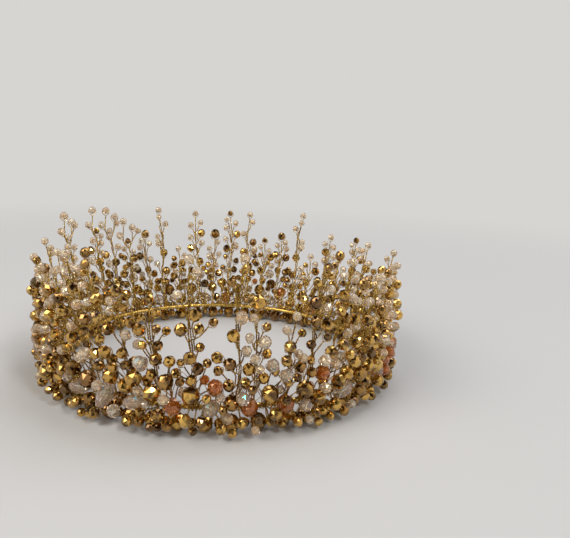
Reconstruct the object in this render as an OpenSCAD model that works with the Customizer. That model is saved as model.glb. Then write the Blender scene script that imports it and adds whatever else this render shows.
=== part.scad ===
// Full round bridal crown of faceted glass beads on twisted brass wire.
// Millimetres. Z is up, the front faces -Y, and the crown stands on its rim beads at z = 0.

/* [Crown] */
// Clear width inside the ring wire
inner_d = 157; // [155:1:160]
// Height of the ring wire above the surface that the crown stands on
ring_z = 9.2; // [9:0.1:9.6]
// How far the wall of sprays leans out, for each millimetre of height
lean = 0.2; // [0.18:0.01:0.22]
// Height of the sprays, as a share of the heights in their tables
spray_scale = 1; // [0.98:0.01:1.04]

/* [Wire] */
// Thickness of the ring wire that carries the whole crown
ring_wire_d = 2; // [1.8:0.1:2]
// Thickness of the wire bundle that each spray is bound on
bind_wire_d = 1.2; // [1:0.1:1.2]
// Thickness of a spray's stem, a twisted bundle
stem_d = 0.8; // [0.7:0.05:0.9]
// Thickness of a twig, a twisted pair
twig_d = 0.7; // [0.6:0.05:0.75]
// Thickness of the wire that loops round a bead and through its hole
loop_wire_d = 0.46; // [0.42:0.02:0.48]
// Thickness of the wire that the rim beads are threaded on
rim_wire_d = 0.6; // [0.5:0.05:0.6]

/* [Beads] */
// Width of the smallest beads, on the spray tips
tip_d = 4; // [3.8:0.1:4.2]
// Width of the beads along the sprays
mid_d = 5.6; // [5.4:0.1:5.8]
// Width of the single large bead on top of a short spray
big_d = 6.8; // [6.4:0.1:7]
// Width of the beads round the rim and the collar
rim_d = 8; // [7.6:0.1:8]
// Length of a bead along its hole, as a share of its width
bead_squash = 0.78; // [0.74:0.01:0.8]
// Width of the round stones of the base
stone_d = 8; // [7.6:0.1:8.2]
// Width of the oval stones of the base
oval_d = 7; // [6.8:0.1:7.2]
// Length of the oval stones of the base
oval_len = 10.4; // [10:0.1:10.6]
// Width of the hole through a bead
hole_d = 0.9; // [0.86:0.02:1]
// Number of facets in each row of a strung bead
bead_sides = 8; // [8:2:10]
// Number of facets in each row of a base stone
stone_sides = 8; // [8:1:10]

/* [Hidden] */
$fn = 48;
fit_gap = 0.15;
sectors = 12;
sector_angle = 360 / sectors;
end_angle = 14.2;

ring_r = inner_d / 2 + ring_wire_d / 2;
bind_r = ring_r + ring_wire_d / 2 + fit_gap + bind_wire_d / 2;
rim_z = rim_d / 2 * cos(180 / bead_sides);
rim_r = ring_r + 3.55;
stem_knot_d = stem_d + 0.2;

// Outline of a bead from its hole to its girdle, as shares of its radius and half its length
table_share = 0.5;
shoulder_share = 0.86;
shoulder_height = 0.54;
girdle_share = 0.24;

// The wire round a bead: how far it stands clear of a table, the radius of its bends there,
// how far its corners clear the side of a long stone, and the knot that ties it below the bead
arm_gap = 0.6;
bend_r = 0.4;
corner_gap = 0.5;
knot_size = 0.8;
knot_angle = 8;

// How far a twig climbs, and how much more for each millimetre that its bead stands out
twig_rise = 6.5;
twig_spread = 0.3;

// The beads of each kind of spray, the topmost first.
// Columns: height, distance to the side, distance outwards from the wall, width, glass
HEIGHT = 0;
SIDE = 1;
OUT = 2;
WIDTH = 3;
GLASS = 4;
DESIGNS = [
    [   // tall fork
        [74, 0.5, 0, tip_d, "champagne"],
        [53, 2.8, 4.4, mid_d, "gold"],
        [46, -3, 3.2, mid_d, "gold"],
        [35, 0.6, 6, mid_d, "gold"]
    ],
    [   // tall, single file
        [75, 1, 0, tip_d, "champagne"],
        [52, 0.6, 4.4, mid_d, "champagne"],
        [44.5, -2.2, 4.6, mid_d, "gold"],
        [32, -3, 4.6, mid_d, "gold"]
    ],
    [   // short, with a large bead on top
        [57, -0.8, 0, big_d, "gold"],
        [41, 2.2, 3.8, mid_d, "champagne"],
        [29.5, -3.4, 4.4, mid_d, "gold"]
    ],
    [   // short and bushy
        [57, 0.5, 0, tip_d, "gold"],
        [44, -3.8, 2.6, mid_d, "gold"],
        [33, 3, 5, mid_d, "gold"]
    ],
    [   // lowest
        [50, 0.5, 0, tip_d, "champagne"],
        [38, -2.6, 4, mid_d, "gold"],
        [28.5, 3.2, 4, mid_d, "gold"]
    ],
    [   // tall, spread out
        [70, 1.2, 0, tip_d, "gold"],
        [56, -3.6, 2.2, mid_d, "gold"],
        [46, 3, 3.6, mid_d, "gold"],
        [31, 2.4, 7.6, mid_d, "champagne"]
    ],
    [   // middle height, heavy
        [60, 0.6, 0, mid_d, "gold"],
        [44, -2.4, 4.4, mid_d, "gold"],
        [34, -3.6, 7.2, mid_d, "gold"]
    ],
    [   // tall, leaning over its low beads
        [72, -0.6, 0, tip_d, "champagne"],
        [58, 3.4, 2.4, mid_d, "gold"],
        [47, -3.2, 5, mid_d, "gold"],
        [37, 2.8, 7.4, mid_d, "gold"]
    ]
];

// A spray that is shorter or taller than its table changes above this height only
low_z = 28;

// Where the sprays stand. Columns: angle from the front, row of DESIGNS, hand, and
// height share, which scales what lies above low_z
ANGLE = 0;
DESIGN = 1;
HAND = 2;
TALLNESS = 3;
FRONT_SPRAYS = [
    [-41, 7, 1, 0.97],
    [-34, 5, -1, 0.95],
    [-26.5, 6, 1, 0.96],
    [-17.8, 3, 1, 1],
    [-7.5, 0, 1, 1],
    [4.5, 1, 1, 1],
    [9.6, 2, 1, 1],
    [19.5, 4, 1, 1],
    [26, 5, 1, 1],
    [34.5, 7, -1, 0.98],
    [41.5, 6, -1, 1]
];
STEM_PLACES = [-11.2, -3.9, 3.6, 11];
// The sprays are shorter at the sides of the crown than at its front and back
side_drop = 0.27;
SIDE_SPRAYS = [
    for (s = [2:10], j = [0:3])
        let (n = 4 * s + j)
        [
            sector_angle * s + STEM_PLACES[j],
            (5 * n) % len(DESIGNS),
            (n % 3 == 0) ? -1 : 1,
            0.92 - side_drop * pow(sin(sector_angle * s), 2) + 0.03 * (3 * n % 4)
        ]
];
SPRAYS = concat(FRONT_SPRAYS, SIDE_SPRAYS);

// The base stones, ten degrees apart, from just left of the front and on to the right
stone_step = 10;
stone_start = -2;
stone_z = 12.6;
stone_out = 6.2;
// An oval stone lies along the rim or stands up
level_turn = 12;
upright_turn = 75;
STONES = [
    "clear", "copper", "copper", "gold", "clear oval", "gold",
    "clear", "copper", "gold", "clear oval", "gold", "clear",
    "gold", "clear oval", "copper", "gold", "clear", "gold",
    "copper", "clear oval", "gold", "clear", "gold", "copper",
    "clear oval", "gold", "clear", "gold", "copper", "clear oval",
    "gold", "gold", "clear oval", "clear oval", "clear oval", "copper"
];

// The collar beads lie over the gaps between the base stones, two in each sector
COLLAR_PLACES = [-7, 13];
collar_z = 18.6;
collar_out = 7;

// The rim beads of one sector
RIM_PLACES = [-11.25, -3.75, 3.75, 11.25];
WRAP_PLACES = [-9.6, 0.4, 6];

function stone_name(i) = str("stone_", i < 9 ? "0" : "", i + 1);
function spray_name(s) = str("spray_", s < 9 ? "0" : "", s + 1);

BRASS = "#B9924A";
GOLD_GLASS = "#A87B2A";
CHAMPAGNE_GLASS = "#DDBE98";
CLEAR_GLASS = "#CFC4BC";
COPPER_GLASS = "#A2552C";

function unit(v) = v / norm(v);
function wall_r(z) = bind_r + lean * (z - ring_z);

// A place on the wall: angle from the front, then millimetres to the side, outwards and up
function at(angle, side, out, z) =
    let (a = angle + side / wall_r(z) * 180 / PI, r = wall_r(z) + out)
    [r * sin(a), -r * cos(a), z];

// A spray's stem bends a little one way and then back
function rows(spray) = DESIGNS[spray[DESIGN]];
function tallness(spray) = spray[TALLNESS] * spray_scale;
function top(spray) = rows(spray)[0];
function bead_z(spray, row) = low_z + (row[HEIGHT] - low_z) * tallness(spray);
function bead_at(spray, row) =
    at(spray[ANGLE], spray[HAND] * row[SIDE], row[OUT], bead_z(spray, row));
function stem(spray) =
    let (h = bead_z(spray, top(spray)), way = spray[HAND], a = spray[ANGLE])
    [
        at(a, 0, 0, ring_z),
        at(a, way * 1.1, 0.2, ring_z + 0.3 * (h - ring_z)),
        at(a, -way * 0.5, 0.2, ring_z + 0.68 * (h - ring_z)),
        bead_at(spray, top(spray))
    ];
function stem_part(p, z) = z < p[1].z ? 0 : z < p[2].z ? 1 : 2;
function stem_at(p, z) =
    let (k = stem_part(p, z), t = (z - p[k].z) / (p[k + 1].z - p[k].z))
    p[k] + t * (p[k + 1] - p[k]);

// Where a twig leaves its stem, lower down for a bead that stands further out
function root(spray, row) =
    stem_at(stem(spray), bead_z(spray, row) - twig_rise - twig_spread * row[OUT]);

// How far a bead is turned about its twig, a fixed mix of angles
function turn(a, k) = 22 * ((round(abs(a) * 2) + 3 * k) % 5 - 2);

// A bead's place: its centre, the way from its twig, and the way along its hole
function place(centre, from, twist) =
    let (
        up = unit(centre - from),
        across = unit(cross(up, [centre.x, centre.y, 0])),
        other = cross(up, across)
    )
    [centre, up, across * cos(twist) + other * sin(twist)];

function spray_place(spray, k) =
    let (row = rows(spray)[k], p = stem(spray))
    place(bead_at(spray, row), k == 0 ? p[2] : root(spray, row), turn(spray[ANGLE], k));

function base_place(angle, out, z, twist) =
    place(at(angle, 0, out, z), at(angle, 0, 0, ring_z), twist);
function stone_angle(i) = stone_start + stone_step * i;
function is_oval(i) = STONES[i] == "clear oval";
function stone_turn(i) = is_oval(i) ? (i % 3 == 0 ? upright_turn : level_turn) : 30 * (i % 4) - 45;
function stone_place(i) = base_place(stone_angle(i), stone_out, stone_z, stone_turn(i));
function collar_angle(s, j) = sector_angle * s + COLLAR_PLACES[j];
function collar_place(s, j) =
    base_place(collar_angle(s, j), collar_out, collar_z, 40 * ((s + j) % 3) - 40);

function stone_width(i) = is_oval(i) ? oval_d : stone_d;
function stone_length(i) = is_oval(i) ? oval_len : stone_d * bead_squash;

// Sets its children at a bead's place, with their Z along the hole
module along_hole(p) {
    x = cross(p[1], p[2]);
    multmatrix([
        [x.x, p[1].x, p[2].x, p[0].x],
        [x.y, p[1].y, p[2].y, p[0].y],
        [x.z, p[1].z, p[2].z, p[0].z]
    ])
    children();
}

module rod(from, to, d) {
    v = to - from;
    translate(from)
    rotate([0, acos(v.z / norm(v)), atan2(v.y, v.x)])
    cylinder(d = d, h = norm(v));
}

// A bead with a table at each end, three rows of flat facets and a drilled hole
module bead(d, l) {
    r = d / 2 * cos(180 / bead_sides);
    t = table_share * r;
    g = girdle_share * l / 2;
    h = l / 2;
    difference() {
        intersection_for (i = [0:bead_sides / 2 - 1])
            rotate([0, 0, 360 / bead_sides * i])
            rotate([90, 0, 0])
            linear_extrude(height = 2 * d, center = true)
            polygon([[t, h], [r, g], [r, -g], [t, -h], [-t, -h], [-r, -g], [-r, g], [-t, h]]);
        cylinder(d = hole_d, h = 2 * l, center = true);
    }
}

module strung_bead(p, d) {
    along_hole(p) bead(d, d * bead_squash);
}

// A stone cut in four rows of facets between its two tables, and drilled
module cut_stone(d, l) {
    n = stone_sides;
    // Columns: radius, height, share of a facet's angle that the row is turned by
    rings = [
        [hole_d / 2, l / 2, 0],
        [table_share * d / 2, l / 2, 0],
        [shoulder_share * d / 2, shoulder_height * l / 2, 0.5],
        [d / 2, 0, 0],
        [shoulder_share * d / 2, -shoulder_height * l / 2, 0.5],
        [table_share * d / 2, -l / 2, 0],
        [hole_d / 2, -l / 2, 0]
    ];
    points = [
        for (r = rings, i = [0:n - 1])
            let (a = 360 * (i + r[2]) / n)
            [r[0] * cos(a), r[0] * sin(a), r[1]]
    ];
    faces = [
        for (k = [0:len(rings) - 1], i = [0:n - 1])
            let (
                next = (k + 1) % len(rings),
                j = (i + 1) % n,
                a = k * n,
                b = next * n,
                shift = rings[next][2] - rings[k][2]
            )
            each shift == 0 ? [[a + i, b + i, b + j], [a + i, b + j, a + j]]
                : shift > 0 ? [[a + i, b + i, a + j], [b + i, b + j, a + j]]
                : [[a + i, b + i, b + j], [a + i, b + j, a + j]]
    ];
    polyhedron(points, faces);
}

// A wire bent in an arc about Z
module bend(r, from_angle, angle) {
    rotate([0, 0, from_angle])
    rotate_extrude(angle = angle)
    translate([r, 0])
    circle(d = loop_wire_d);
}

// The knot where a loop closes, cut square to the wire that runs in at each side
module loop_knot(r) {
    linear_extrude(height = knot_size, center = true)
    polygon([
        for (k = [[-1, -1], [1, -1], [1, 1], [-1, 1]])
            let (a = 270 + k[0] * knot_angle, reach = r + k[1] * knot_size / 2)
            [reach * cos(a), reach * sin(a)]
    ]);
}

// The wire that holds a bead: a twig up to a knot, and a loop that runs from the knot round
// the bead's sides and straight through its hole
module seat(p, from, d, l) {
    side = l / 2 + arm_gap + bend_r;
    corner_r = l > d ? d / 2 + corner_gap : side;
    flat = side - corner_r;
    rod(from, p[0] - (bend_r + corner_r) * p[1], twig_d);
    along_hole(p) {
        cylinder(d = loop_wire_d, h = 2 * (side - bend_r), center = true);
        translate([0, -bend_r, 0])
        rotate([0, 90, 0]) {
            for (way = [-1, 1]) {
                translate([way * (side - bend_r), 0, 0]) bend(bend_r, way > 0 ? 0 : 90, 90);
                translate([way * flat, 0, 0]) bend(corner_r, way > 0 ? 270 : 180, 90);
            }
            if (flat > 0)
                translate([-flat, -corner_r, 0])
                rotate([0, 90, 0])
                cylinder(d = loop_wire_d, h = 2 * flat);
            loop_knot(corner_r);
        }
    }
}

module ring_wire() {
    color(BRASS)
    translate([0, 0, ring_z])
    rotate_extrude($fn = 96)
    translate([ring_r, 0])
    circle(d = ring_wire_d);
}

// The thread of the rim beads, with a tie round the ring wire between each two sectors
module rim_wire() {
    gap = norm([rim_r - ring_r, ring_z - rim_z]);
    tie_r = (gap + ring_wire_d / 2 + rim_wire_d / 2) / 2 + fit_gap;
    share = tie_r / gap;
    color(BRASS) {
        translate([0, 0, rim_z])
        rotate_extrude($fn = 96)
        translate([rim_r, 0])
        circle(d = rim_wire_d);
        for (s = [0:sectors - 1])
            rotate([0, 0, sector_angle * (s + 0.5)])
            translate([0, -rim_r - share * (ring_r - rim_r), rim_z + share * (ring_z - rim_z)])
            rotate([0, 90, 0])
            rotate_extrude()
            translate([tie_r, 0])
            circle(d = rim_wire_d - 0.06);
    }
}

module rim_beads() {
    color(GOLD_GLASS)
    for (s = [0:sectors - 1], a = RIM_PLACES)
        rotate([0, 0, sector_angle * s + a])
        translate([0, -rim_r, rim_z])
        rotate([0, 90, 0])
        bead(rim_d, rim_d * bead_squash);
}

module collar_beads() {
    color(GOLD_GLASS)
    for (s = [0:sectors - 1], j = [0:len(COLLAR_PLACES) - 1])
        strung_bead(collar_place(s, j), rim_d);
}

// All beads of one glass on the sprays, of the front half, the back half or both
module spray_beads(glass, front, back) {
    for (spray = SPRAYS, k = [0:len(rows(spray)) - 1])
        if (rows(spray)[k][GLASS] == glass && (cos(spray[ANGLE]) > 0 ? front : back))
            strung_bead(spray_place(spray, k), rows(spray)[k][WIDTH]);
}

module gold_beads_front() {
    color(GOLD_GLASS) spray_beads("gold", true, false);
}

module gold_beads_back() {
    color(GOLD_GLASS) spray_beads("gold", false, true);
}

module champagne_beads() {
    color(CHAMPAGNE_GLASS) spray_beads("champagne", true, true);
}

// The wire of one spray: its stem, and the seats of its beads
module spray_wire(spray) {
    p = stem(spray);
    top_row = top(spray);
    top_place = spray_place(spray, 0);
    rod(p[0], p[1], stem_d);
    rod(p[1], p[2], stem_d);
    for (k = [1, 2])
        translate(p[k]) sphere(d = stem_knot_d);
    seat(top_place, p[2], top_row[WIDTH], top_row[WIDTH] * bead_squash);
    for (k = [1:len(rows(spray)) - 1]) {
        row = rows(spray)[k];
        seat(spray_place(spray, k), root(spray, row), row[WIDTH], row[WIDTH] * bead_squash);
    }
}

// Whether an angle from the front lies in a sector
function in_sector(angle, s) = cos(angle - sector_angle * s) > cos(sector_angle / 2);

// The sprays of one sector, bound on one bundle that wraps round the ring wire
module sector_wire(s) {
    color(BRASS) {
        translate([0, 0, ring_z]) {
            rotate([0, 0, sector_angle * s - end_angle - 90])
            rotate_extrude(angle = 2 * end_angle, $fn = 96)
            translate([bind_r, 0])
            circle(d = bind_wire_d);
            for (a = WRAP_PLACES)
                rotate([0, 0, sector_angle * s + a])
                translate([0, -ring_r, 0])
                rotate([0, 90, 0])
                rotate_extrude()
                translate([ring_wire_d / 2 + fit_gap + loop_wire_d / 2, 0])
                circle(d = loop_wire_d);
        }
        for (spray = SPRAYS)
            if (in_sector(spray[ANGLE], s)) spray_wire(spray);
        for (i = [0:len(STONES) - 1])
            if (in_sector(stone_angle(i), s))
                seat(stone_place(i), at(stone_angle(i), 0, 0, ring_z), stone_width(i), stone_length(i));
        for (j = [0:len(COLLAR_PLACES) - 1])
            seat(collar_place(s, j), at(collar_angle(s, j), 0, 0, ring_z), rim_d, rim_d * bead_squash);
    }
}

module stone(i) {
    glass = STONES[i];
    color(glass == "gold" ? GOLD_GLASS : glass == "copper" ? COPPER_GLASS : CLEAR_GLASS)
    along_hole(stone_place(i))
    cut_stone(stone_width(i), stone_length(i));
}

ring_wire();
rim_wire();
rim_beads();
collar_beads();
gold_beads_front();
gold_beads_back();
champagne_beads();
for (s = [0:sectors - 1])
    sector_wire(s);
for (i = [0:len(STONES) - 1])
    stone(i);
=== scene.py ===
import math
import random

import bpy
import numpy as np
from mathutils import Matrix, Vector


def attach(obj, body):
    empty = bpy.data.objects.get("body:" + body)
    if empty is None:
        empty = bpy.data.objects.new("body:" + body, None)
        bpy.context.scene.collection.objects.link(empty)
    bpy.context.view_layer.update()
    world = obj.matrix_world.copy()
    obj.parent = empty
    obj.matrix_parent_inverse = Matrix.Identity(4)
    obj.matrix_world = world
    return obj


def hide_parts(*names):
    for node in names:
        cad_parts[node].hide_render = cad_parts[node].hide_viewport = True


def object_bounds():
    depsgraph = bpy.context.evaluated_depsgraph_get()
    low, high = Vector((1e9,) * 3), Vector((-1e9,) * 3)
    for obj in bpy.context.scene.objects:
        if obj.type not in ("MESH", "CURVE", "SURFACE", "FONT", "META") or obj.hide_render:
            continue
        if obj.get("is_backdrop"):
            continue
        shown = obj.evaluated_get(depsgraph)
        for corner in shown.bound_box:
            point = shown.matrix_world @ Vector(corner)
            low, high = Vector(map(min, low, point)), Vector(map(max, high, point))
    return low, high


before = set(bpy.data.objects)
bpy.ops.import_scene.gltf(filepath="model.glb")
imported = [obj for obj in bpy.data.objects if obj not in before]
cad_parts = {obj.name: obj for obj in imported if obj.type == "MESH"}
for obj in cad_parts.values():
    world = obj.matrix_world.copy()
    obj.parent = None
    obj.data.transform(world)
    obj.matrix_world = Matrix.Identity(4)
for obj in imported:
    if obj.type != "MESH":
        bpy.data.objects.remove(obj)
cad_low, cad_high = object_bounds()


# ---- Camera: a little above the front of the crown and to its left, at the photograph's
# angle. The image is 570 wide and 538 high, and the lens is that of the photograph in pixels.
MM = 0.001
eye = Vector((0, -305, 115)) * MM
pitch, yaw, roll = (math.radians(a) for a in (11.65, 6.35, 2.5))
image_w, focal_px = 570, 581
sensor_w = 36
flat = math.cos(pitch)
ahead = Vector((math.sin(yaw) * flat, math.cos(yaw) * flat, -math.sin(pitch)))
level_right = ahead.cross(Vector((0, 0, 1))).normalized()
level_up = level_right.cross(ahead)
right = level_right * math.cos(roll) + level_up * math.sin(roll)
up = level_up * math.cos(roll) - level_right * math.sin(roll)
camera_data = bpy.data.cameras.new("camera")
camera_data.sensor_width = sensor_w
camera_data.lens = focal_px / image_w * sensor_w
camera_data.clip_start = 0.01
camera = bpy.data.objects.new("camera", camera_data)
camera.matrix_world = Matrix(
    [(right[k], up[k], -ahead[k], eye[k]) for k in range(3)] + [(0, 0, 0, 1)]
)
bpy.context.scene.collection.objects.link(camera)
bpy.context.scene.camera = camera


# ---- Studio: a pale matt floor that runs out into a pale surround, with two soft lights
# above and a smaller one that gives the glass its sparkle.
def add(tree, kind, inputs=None, **settings):
    """Add a node, set its properties, and set or link its inputs by name or number."""
    node = tree.nodes.new(kind)
    for name, value in settings.items():
        setattr(node, name, value)
    for name, value in (inputs or {}).items():
        socket = node.inputs[name]
        if isinstance(value, bpy.types.NodeSocket):
            tree.links.new(value, socket)
        else:
            socket.default_value = value
    return node


def linear(hex_value, alpha=1.0):
    """An sRGB hex colour as the linear values that a socket takes."""
    parts = [int(hex_value[k : k + 2], 16) / 255 for k in (1, 3, 5)]
    parts = [c / 12.92 if c <= 0.04045 else ((c + 0.055) / 1.055) ** 2.4 for c in parts]
    return (*parts, alpha)


def new_material(name):
    """An empty node material and its tree."""
    material = bpy.data.materials.new(name)
    material.use_nodes = True
    material.node_tree.nodes.clear()
    return material, material.node_tree


def link_object(name, data):
    made = bpy.data.objects.new(name, data)
    bpy.context.scene.collection.objects.link(made)
    return made


scene = bpy.context.scene
scene.view_settings.view_transform = "Standard"
SURROUND = "#D6D5D2"
floor_radius = 6.0
floor_sides = 64
corners = [2 * math.pi * k / floor_sides for k in range(floor_sides)]
floor_mesh = bpy.data.meshes.new("floor")
floor_mesh.from_pydata(
    [(floor_radius * math.cos(a), floor_radius * math.sin(a), 0) for a in corners],
    [],
    [tuple(range(floor_sides))],
)
floor = link_object("floor", floor_mesh)
paper, tree = new_material("matt_paper_floor")
place = add(tree, "ShaderNodeTexCoord")
reach = add(tree, "ShaderNodeVectorMath", {0: place.outputs["Object"]}, operation="LENGTH")
far = add(
    tree,
    "ShaderNodeMapRange",
    {"Value": reach.outputs["Value"], "From Min": 0.11, "From Max": 0.95},
    interpolation_type="SMOOTHSTEP",
)
near_paper = add(tree, "ShaderNodeBsdfDiffuse", {"Color": linear("#C5C6C7")})
far_paper = add(tree, "ShaderNodeEmission", {"Color": linear(SURROUND), "Strength": 1.0})
both = add(
    tree,
    "ShaderNodeMixShader",
    {0: far.outputs["Result"], 1: near_paper.outputs[0], 2: far_paper.outputs[0]},
)
add(tree, "ShaderNodeOutputMaterial", {"Surface": both.outputs[0]})
floor_mesh.materials.append(paper)
floor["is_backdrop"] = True

world = bpy.data.worlds.new("studio")
scene.world = world
world.use_nodes = True
tree = world.node_tree
tree.nodes.clear()
look = add(tree, "ShaderNodeTexCoord")
# The glass mirrors an uneven room, with dark corners and pale walls; behind the crown the
# surround is even
patches = add(
    tree, "ShaderNodeTexNoise", {"Vector": look.outputs["Generated"], "Scale": 2.8, "Detail": 2.0}
)
sides = add(tree, "ShaderNodeSeparateXYZ", {0: look.outputs["Generated"]})
aside = add(
    tree, "ShaderNodeMath", {0: sides.outputs["X"], 1: sides.outputs["X"]}, operation="MULTIPLY"
)
paler = add(
    tree,
    "ShaderNodeMath",
    {0: aside.outputs[0], 1: 0.3, 2: patches.outputs["Fac"]},
    operation="MULTIPLY_ADD",
)
room = add(tree, "ShaderNodeValToRGB", {"Fac": paler.outputs[0]})
room.color_ramp.elements[0].position = 0.5
room.color_ramp.elements[0].color = linear("#1A1411")
room.color_ramp.elements[1].position = 0.64
room.color_ramp.elements[1].color = linear("#E8E2D8")
path = add(tree, "ShaderNodeLightPath")
tone = add(tree, "ShaderNodeMix", {0: path.outputs["Is Camera Ray"]}, data_type="RGBA")
tree.links.new(room.outputs["Color"], tone.inputs[6])
tone.inputs[7].default_value = linear(SURROUND)
surround = add(tree, "ShaderNodeBackground", {"Color": tone.outputs[2], "Strength": 1.0})
add(tree, "ShaderNodeOutputWorld", {"Surface": surround.outputs[0]})

# Columns: name, place in metres, size in metres, power in watts, colour
LAMPS = [
    ("window", (-1.1, -0.7, 1.3), 1.1, 17, "#FFF8EE"),
    ("overhead", (0.5, 0.5, 1.6), 1.3, 14, "#F8F8FF"),
    ("sparkle", (0.55, -0.9, 1.0), 0.22, 5, "#FFFFFF"),
]
for name, spot, size, power, hue in LAMPS:
    lamp = bpy.data.lights.new(name, "AREA")
    lamp.shape = "SQUARE"
    lamp.size = size
    lamp.energy = power
    lamp.color = linear(hue)[:3]
    holder = link_object(name, lamp)
    holder.location = spot
    holder.rotation_euler = (-Vector(spot)).to_track_quat("-Z", "Y").to_euler()


# ---- Ring wire: one closed hoop of drawn brass, 2 mm thick, that carries the whole crown.
# Its solid stays. The layout of the crown starts from its radius and height, in millimetres,
# and the wirework of the sprays is bound to its outside in a bundle.
ring_z = 9.2
ring_wire_d = 2
head_d = 157
ring_r = head_d / 2 + ring_wire_d / 2
bundle_d = 1.2
bundle_gap = 0.15
bundle_r = ring_r + ring_wire_d / 2 + bundle_gap + bundle_d / 2
lean = 0.2


def wall_r(z):
    """The radius of the wall of sprays, which leans out as it rises."""
    return bundle_r + lean * (z - ring_z)


def at(angle, side, out, z):
    """A place on the wall: degrees from the front, then millimetres sideways, outwards, up."""
    a = math.radians(angle) + side / wall_r(z)
    r = wall_r(z) + out
    return np.array([r * math.sin(a), -r * math.cos(a), z])


# Drawn brass wire, gold in colour: polished by the die along its length, a little dulled by
# handling, so that it glints in thin lines and goes brown where it turns from the light.
dull_patch = 2.38
brass, tree = new_material("drawn_brass_wire")
place = add(tree, "ShaderNodeTexCoord")
dulling = add(
    tree,
    "ShaderNodeTexNoise",
    {"Vector": place.outputs["Object"], "Scale": 1 / (dull_patch * MM), "Detail": 3.0},
)
tint = add(tree, "ShaderNodeValToRGB", {"Fac": dulling.outputs["Fac"]})
tint.color_ramp.elements[0].position = 0.36
tint.color_ramp.elements[0].color = linear("#AC863A")
tint.color_ramp.elements[1].position = 0.60
tint.color_ramp.elements[1].color = linear("#ECCA72")
# In a twisted pair the second strand's colour is mixed towards dark brown: painted shade, for the
# shade that falls between the two strands where one lies in the other's shade
which = add(tree, "ShaderNodeAttribute", attribute_name="strand")
painted_strand_shade = add(tree, "ShaderNodeMath", {0: which.outputs["Fac"], 1: 0.6}, operation="MULTIPLY")
wear_tint_and_painted_shade = add(tree, "ShaderNodeMix", {0: painted_strand_shade.outputs[0]}, data_type="RGBA")
tree.links.new(tint.outputs["Color"], wear_tint_and_painted_shade.inputs[6])
# The dark brown of the painted shade on the second strand
wear_tint_and_painted_shade.inputs[7].default_value = linear("#553A16")
gloss = add(
    tree, "ShaderNodeMapRange", {"Value": dulling.outputs["Fac"], "To Min": 0.34, "To Max": 0.2}
)
metal = add(
    tree,
    "ShaderNodeBsdfPrincipled",
    {"Base Color": wear_tint_and_painted_shade.outputs[2], "Roughness": gloss.outputs["Result"], "Metallic": 1.0},
)
add(tree, "ShaderNodeOutputMaterial", {"Surface": metal.outputs[0]})


def dress(node, material):
    """Give a CAD node's object one material in every slot."""
    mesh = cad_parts[node].data
    mesh.materials.clear()
    mesh.materials.append(material)


dress("ring_wire", brass)


# ---- Rim wire: thinner brass wire that the rim beads are threaded on. It runs round below the
# ring wire and is tied to it in twelve places. Its solid stays.
dress("rim_wire", brass)


# ---- Wirework of the sprays: brass wire of 0.4 mm, taken through a bead, folded, and
# twisted with its own end down to the stem. The stems are bound to the ring wire.
# The sprays are made to eight designs. Here are the main beads of each, the top one first, with
# their columns: the centre's height, sideways and outwards of the stem, the width, the glass
HEIGHT, SIDE, OUT, WIDTH, GLASS = range(5)
tip, mid, big = 4.0, 5.6, 6.8
# How long a bead is along its hole, as a share of its width
hole_share = 0.78
DESIGNS = [
    [
        (74, 0.5, 0, tip, "champagne"), (53, 2.8, 4.4, mid, "gold"), (46, -3, 3.2, mid, "gold"),
        (35, 0.6, 6, mid, "gold"),
    ],
    [
        (75, 1, 0, tip, "champagne"), (52, 0.6, 4.4, mid, "champagne"),
        (44.5, -2.2, 4.6, mid, "gold"), (32, -3, 4.6, mid, "gold"),
    ],
    [(57, -0.8, 0, big, "gold"), (41, 2.2, 3.8, mid, "champagne"), (29.5, -3.4, 4.4, mid, "gold")],
    [(57, 0.5, 0, tip, "gold"), (44, -3.8, 2.6, mid, "gold"), (33, 3, 5, mid, "gold")],
    [(50, 0.5, 0, tip, "champagne"), (38, -2.6, 4, mid, "gold"), (28.5, 3.2, 4, mid, "gold")],
    [
        (70, 1.2, 0, tip, "gold"), (56, -3.6, 2.2, mid, "gold"), (46, 3, 3.6, mid, "gold"),
        (31, 2.4, 7.6, mid, "champagne"),
    ],
    [(60, 0.6, 0, mid, "gold"), (44, -2.4, 4.4, mid, "gold"), (34, -3.6, 7.2, mid, "gold")],
    [
        (72, -0.6, 0, tip, "champagne"), (58, 3.4, 2.4, mid, "gold"),
        (47, -3.2, 5, mid, "gold"), (37, 2.8, 7.4, mid, "gold"),
    ],
]
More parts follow.
